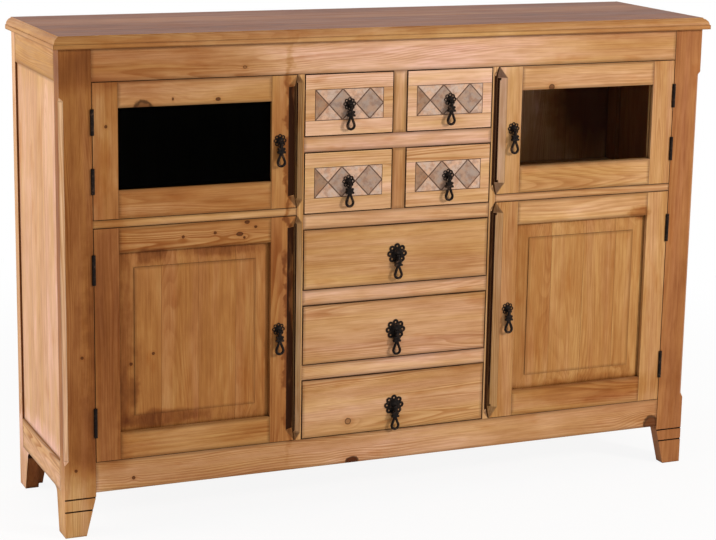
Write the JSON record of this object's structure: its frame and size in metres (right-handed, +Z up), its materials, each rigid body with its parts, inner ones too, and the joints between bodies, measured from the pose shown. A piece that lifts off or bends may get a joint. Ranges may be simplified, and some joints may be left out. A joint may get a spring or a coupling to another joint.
{
  "type": "highboard",
  "caption": "Rustic pine highboard on tapered legs, glazed and panelled doors beside a stack of drawers, iron drop pulls.",
  "frame": {"origin": "on the floor, under the middle of the overall box", "axes": "+X along the front towards the viewer's right, +Y into the depth (the front faces -Y), +Z up"},
  "size_m": [1.5, 0.394, 1.037],
  "materials": {
    "pine": "waxed honey pine with a darkened edge",
    "iron": "blackened forged iron",
    "glass": "clear window glass",
    "stone": "flush honed stone tiles in cream, tan and slate"
  },
  "bodies": {
    "case": {"top_panel": "pine", "top_moulding": "pine", "front_post_left": "pine", "front_post_right": "pine", "rear_post_left": "pine", "rear_post_right": "pine", "side_rails": "pine", "side_panel_left": "pine", "side_panel_right": "pine", "front_rails": "pine", "back_rails": "pine", "back_panel": "pine", "bottom_panel": "pine", "shelves": "pine", "divider_left": "pine", "divider_right": "pine", "drawer_rails": "pine", "drawer_runners": "pine", "case_hinge_leaves": "iron"},
    "upper_left_door": {"upper_left_door_frame": "pine", "upper_left_door_glass": "glass", "upper_left_door_ironwork": "iron"},
    "upper_left_door_drop": {"upper_left_door_drop": "iron"},
    "upper_right_door": {"upper_right_door_frame": "pine", "upper_right_door_glass": "glass", "upper_right_door_ironwork": "iron"},
    "upper_right_door_drop": {"upper_right_door_drop": "iron"},
    "lower_left_door": {"lower_left_door_frame": "pine", "lower_left_door_panel": "pine", "lower_left_door_ironwork": "iron"},
    "lower_left_door_drop": {"lower_left_door_drop": "iron"},
    "lower_right_door": {"lower_right_door_frame": "pine", "lower_right_door_panel": "pine", "lower_right_door_ironwork": "iron"},
    "lower_right_door_drop": {"lower_right_door_drop": "iron"},
    "large_drawer_bottom": {"large_drawer_bottom_box": "pine", "large_drawer_bottom_rosette": "iron"},
    "large_drawer_bottom_drop": {"large_drawer_bottom_drop": "iron"},
    "large_drawer_middle": {"large_drawer_middle_box": "pine", "large_drawer_middle_rosette": "iron"},
    "large_drawer_middle_drop": {"large_drawer_middle_drop": "iron"},
    "large_drawer_top": {"large_drawer_top_box": "pine", "large_drawer_top_rosette": "iron"},
    "large_drawer_top_drop": {"large_drawer_top_drop": "iron"},
    "small_drawer_lower_left": {"small_drawer_lower_left_box": "pine", "small_drawer_lower_left_rosette": "iron", "small_drawer_lower_left_inlay": "stone"},
    "small_drawer_lower_left_drop": {"small_drawer_lower_left_drop": "iron"},
    "small_drawer_lower_right": {"small_drawer_lower_right_box": "pine", "small_drawer_lower_right_rosette": "iron", "small_drawer_lower_right_inlay": "stone"},
    "small_drawer_lower_right_drop": {"small_drawer_lower_right_drop": "iron"},
    "small_drawer_upper_left": {"small_drawer_upper_left_box": "pine", "small_drawer_upper_left_rosette": "iron", "small_drawer_upper_left_inlay": "stone"},
    "small_drawer_upper_left_drop": {"small_drawer_upper_left_drop": "iron"},
    "small_drawer_upper_right": {"small_drawer_upper_right_box": "pine", "small_drawer_upper_right_rosette": "iron", "small_drawer_upper_right_inlay": "stone"},
    "small_drawer_upper_right_drop": {"small_drawer_upper_right_drop": "iron"}
  },
  "joints": [
    {"name": "upper_left_door_hinge", "type": "hinge", "parent": "case", "child": "upper_left_door", "pos_m": [-0.67025, -0.1855, 0.805], "axis": [0, 0, -1], "range_deg": [0, 170]},
    {"name": "upper_left_door_drop_swing", "type": "hinge", "parent": "upper_left_door", "child": "upper_left_door_drop", "pos_m": [-0.27075, -0.193, 0.806], "axis": [-1, 0, 0], "range_deg": [-5, 100]},
    {"name": "upper_right_door_hinge", "type": "hinge", "parent": "case", "child": "upper_right_door", "pos_m": [0.67025, -0.1855, 0.805], "axis": [0, 0, 1], "range_deg": [0, 170]},
    {"name": "upper_right_door_drop_swing", "type": "hinge", "parent": "upper_right_door", "child": "upper_right_door_drop", "pos_m": [0.27075, -0.193, 0.806], "axis": [-1, 0, 0], "range_deg": [-5, 100]},
    {"name": "lower_left_door_hinge", "type": "hinge", "parent": "case", "child": "lower_left_door", "pos_m": [-0.67025, -0.1855, 0.403], "axis": [0, 0, -1], "range_deg": [0, 170]},
    {"name": "lower_left_door_drop_swing", "type": "hinge", "parent": "lower_left_door", "child": "lower_left_door_drop", "pos_m": [-0.27075, -0.193, 0.404], "axis": [-1, 0, 0], "range_deg": [-5, 100]},
    {"name": "lower_right_door_hinge", "type": "hinge", "parent": "case", "child": "lower_right_door", "pos_m": [0.67025, -0.1855, 0.403], "axis": [0, 0, 1], "range_deg": [0, 170]},
    {"name": "lower_right_door_drop_swing", "type": "hinge", "parent": "lower_right_door", "child": "lower_right_door_drop", "pos_m": [0.27075, -0.193, 0.404], "axis": [-1, 0, 0], "range_deg": [-5, 100]},
    {"name": "large_drawer_bottom_slide", "type": "slide", "parent": "case", "child": "large_drawer_bottom", "axis": [0, -1, 0], "range_m": [0, 0.27]},
    {"name": "large_drawer_bottom_drop_swing", "type": "hinge", "parent": "large_drawer_bottom", "child": "large_drawer_bottom_drop", "pos_m": [0, -0.193, 0.21], "axis": [-1, 0, 0], "range_deg": [-5, 100]},
    {"name": "large_drawer_middle_slide", "type": "slide", "parent": "case", "child": "large_drawer_middle", "axis": [0, -1, 0], "range_m": [0, 0.27]},
    {"name": "large_drawer_middle_drop_swing", "type": "hinge", "parent": "large_drawer_middle", "child": "large_drawer_middle_drop", "pos_m": [0, -0.193, 0.38], "axis": [-1, 0, 0], "range_deg": [-5, 100]},
    {"name": "large_drawer_top_slide", "type": "slide", "parent": "case", "child": "large_drawer_top", "axis": [0, -1, 0], "range_m": [0, 0.27]},
    {"name": "large_drawer_top_drop_swing", "type": "hinge", "parent": "large_drawer_top", "child": "large_drawer_top_drop", "pos_m": [0, -0.193, 0.548], "axis": [-1, 0, 0], "range_deg": [-5, 100]},
    {"name": "small_drawer_lower_left_slide", "type": "slide", "parent": "case", "child": "small_drawer_lower_left", "axis": [0, -1, 0], "range_m": [0, 0.27]},
    {"name": "small_drawer_lower_left_drop_swing", "type": "hinge", "parent": "small_drawer_lower_left", "child": "small_drawer_lower_left_drop", "pos_m": [-0.116, -0.193, 0.712], "axis": [-1, 0, 0], "range_deg": [-5, 100]},
    {"name": "small_drawer_lower_right_slide", "type": "slide", "parent": "case", "child": "small_drawer_lower_right", "axis": [0, -1, 0], "range_m": [0, 0.27]},
    {"name": "small_drawer_lower_right_drop_swing", "type": "hinge", "parent": "small_drawer_lower_right", "child": "small_drawer_lower_right_drop", "pos_m": [0.116, -0.193, 0.712], "axis": [-1, 0, 0], "range_deg": [-5, 100]},
    {"name": "small_drawer_upper_left_slide", "type": "slide", "parent": "case", "child": "small_drawer_upper_left", "axis": [0, -1, 0], "range_m": [0, 0.27]},
    {"name": "small_drawer_upper_left_drop_swing", "type": "hinge", "parent": "small_drawer_upper_left", "child": "small_drawer_upper_left_drop", "pos_m": [-0.116, -0.193, 0.876], "axis": [-1, 0, 0], "range_deg": [-5, 100]},
    {"name": "small_drawer_upper_right_slide", "type": "slide", "parent": "case", "child": "small_drawer_upper_right", "axis": [0, -1, 0], "range_m": [0, 0.27]},
    {"name": "small_drawer_upper_right_drop_swing", "type": "hinge", "parent": "small_drawer_upper_right", "child": "small_drawer_upper_right_drop", "pos_m": [0.116, -0.193, 0.876], "axis": [-1, 0, 0], "range_deg": [-5, 100]}
  ]
}
